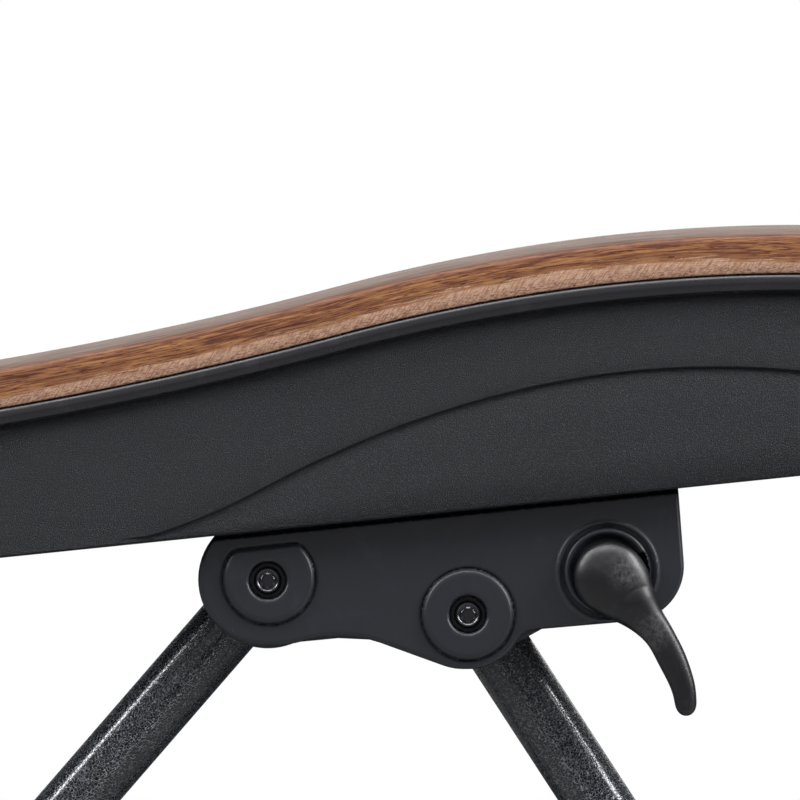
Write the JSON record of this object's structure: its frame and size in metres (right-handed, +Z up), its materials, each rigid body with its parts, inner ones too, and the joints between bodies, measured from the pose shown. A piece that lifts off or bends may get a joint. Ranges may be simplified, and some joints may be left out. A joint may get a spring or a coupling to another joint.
{
  "type": "zero-gravity lounge chair",
  "caption": "Folding recliner lounge chair: splayed tube legs, laced slings, sliding wood-look armrests with a lock lever at each side bracket.",
  "frame": {"origin": "on the floor below the middle of the chair", "axes": "+X towards the leg rest, +Y towards the sitter's left, +Z up"},
  "size_m": [1.1192, 0.692, 1.1563],
  "materials": {
    "arm_cap": "wood grain printed satin plastic",
    "arm_body": "fine sparkle moulded texture",
    "bracket": "satin moulded",
    "lever": "satin moulded",
    "black_screws": "black glossy",
    "steel_plate": "powder coat",
    "slide_block": "moulded",
    "zinc_screws": "zinc plated",
    "rubber": "moulded",
    "tube": "hammertone silver vein on black",
    "sling": "woven coated mesh",
    "elastic": "braided elastic",
    "pillow": "woven coated mesh"
  },
  "bodies": {
    "brackets": {"bracket_cover_right": "bracket", "bracket_cover_left": "bracket", "bracket_inner_right": "bracket", "bracket_inner_left": "bracket", "bracket_plates_right": "steel_plate", "bracket_plates_left": "steel_plate", "leg_bolts_right": "black_screws", "leg_bolts_left": "black_screws", "clamp_bolt_right": "zinc_screws", "clamp_bolt_left": "zinc_screws"},
    "arm_right": {"arm_cap_right": "arm_cap", "arm_body_right": "arm_body", "slide_rail_right": "steel_plate"},
    "arm_left": {"arm_cap_left": "arm_cap", "arm_body_left": "arm_body", "slide_rail_left": "steel_plate"},
    "slider_right": {"slide_block_right": "slide_block"},
    "slider_left": {"slide_block_left": "slide_block"},
    "lever_right": {"lock_lever_right": "lever"},
    "lever_left": {"lock_lever_left": "lever"},
    "arm_pivots": {"arm_pivot_bolts": "zinc_screws"},
    "hip_pivots": {"hip_pivot_bolts": "zinc_screws"},
    "front_legs": {"front_leg_right": "tube", "front_leg_left": "tube", "front_base_bar": "tube", "front_feet": "rubber", "seat_studs": "zinc_screws"},
    "rear_legs": {"rear_leg_right": "tube", "rear_leg_left": "tube", "rear_base_bar": "tube", "rear_feet": "rubber"},
    "back": {"back_rail_right": "tube", "back_rail_left": "tube", "back_top_bar": "tube", "hip_plate_right": "steel_plate", "hip_plate_left": "steel_plate", "back_end_caps": "rubber", "back_sling": "sling", "back_lacing": "elastic", "head_pillow": "pillow", "pillow_strap": "elastic"},
    "seat": {"seat_rail_right": "tube", "seat_rail_left": "tube", "knee_bends": "tube", "calf_rail_right": "tube", "calf_rail_left": "tube", "seat_lugs": "steel_plate", "foot_end_bar": "tube", "rail_end_caps": "rubber", "seat_sling": "sling", "seat_lacing": "elastic"}
  },
  "joints": [
    {"name": "fold", "type": "hinge", "parent": "brackets", "child": "front_legs", "pos_m": [-0.00357, 0, 0.522], "axis": [0, -1, 0], "range_deg": [-95.3, 0]},
    {"name": "rear_leg_fold", "type": "hinge", "parent": "brackets", "child": "rear_legs", "pos_m": [-0.08017, 0, 0.535], "axis": [0, -1, 0], "range_deg": [-21.6, 0]},
    {"name": "arm_tilt_right", "type": "hinge", "parent": "brackets", "child": "slider_right", "pos_m": [0.04983, -0.315, 0.5375], "axis": [0, -1, 0], "range_deg": [0, 12.5]},
    {"name": "recline", "type": "slide", "parent": "slider_right", "child": "arm_right", "axis": [-0.9948, 0, -0.1021], "range_m": [0, 0.066]},
    {"name": "arm_tilt_left", "type": "hinge", "parent": "brackets", "child": "slider_left", "pos_m": [0.04983, 0.315, 0.5375], "axis": [0, -1, 0], "range_deg": [0, 12.5]},
    {"name": "arm_slide_left", "type": "slide", "parent": "slider_left", "child": "arm_left", "axis": [-0.9948, 0, -0.1021], "range_m": [0, 0.067]},
    {"name": "back_fold", "type": "hinge", "parent": "arm_right", "child": "arm_pivots", "pos_m": [-0.26616, 0, 0.52], "axis": [0, -1, 0], "range_deg": [-95.8, 0]},
    {"name": "back_recline", "type": "hinge", "parent": "arm_pivots", "child": "back", "pos_m": [-0.26616, 0, 0.52], "axis": [0, -1, 0], "range_deg": [0, 16.33]},
    {"name": "seat_fold", "type": "hinge", "parent": "back", "child": "hip_pivots", "pos_m": [-0.17558, 0, 0.38209], "axis": [0, -1, 0], "range_deg": [0, 95.8]},
    {"name": "seat_recline", "type": "hinge", "parent": "hip_pivots", "child": "seat", "pos_m": [-0.17558, 0, 0.38209], "axis": [0, -1, 0], "range_deg": [-22.36, 0]},
    {"name": "lock_lever_right", "type": "hinge", "parent": "brackets", "child": "lever_right", "pos_m": [0.04983, -0.338, 0.5375], "axis": [0, -1, 0], "range_deg": [0, 65]},
    {"name": "lock_lever_left", "type": "hinge", "parent": "brackets", "child": "lever_left", "pos_m": [0.04983, 0.338, 0.5375], "axis": [0, -1, 0], "range_deg": [0, 65]}
  ],
  "couplings": [
    {"joint": "rear_leg_fold", "follows": "fold", "ratio": 0.22141},
    {"joint": "back_fold", "follows": "fold", "ratio": 1},
    {"joint": "seat_fold", "follows": "fold", "ratio": -1},
    {"joint": "arm_tilt_right", "follows": "recline", "rad_per_m": 3.1733},
    {"joint": "arm_tilt_left", "follows": "recline", "rad_per_m": 3.1733},
    {"joint": "arm_slide_left", "follows": "recline", "ratio": 1},
    {"joint": "back_recline", "follows": "recline", "rad_per_m": 4.1861},
    {"joint": "seat_recline", "follows": "recline", "rad_per_m": -5.7807}
  ]
}
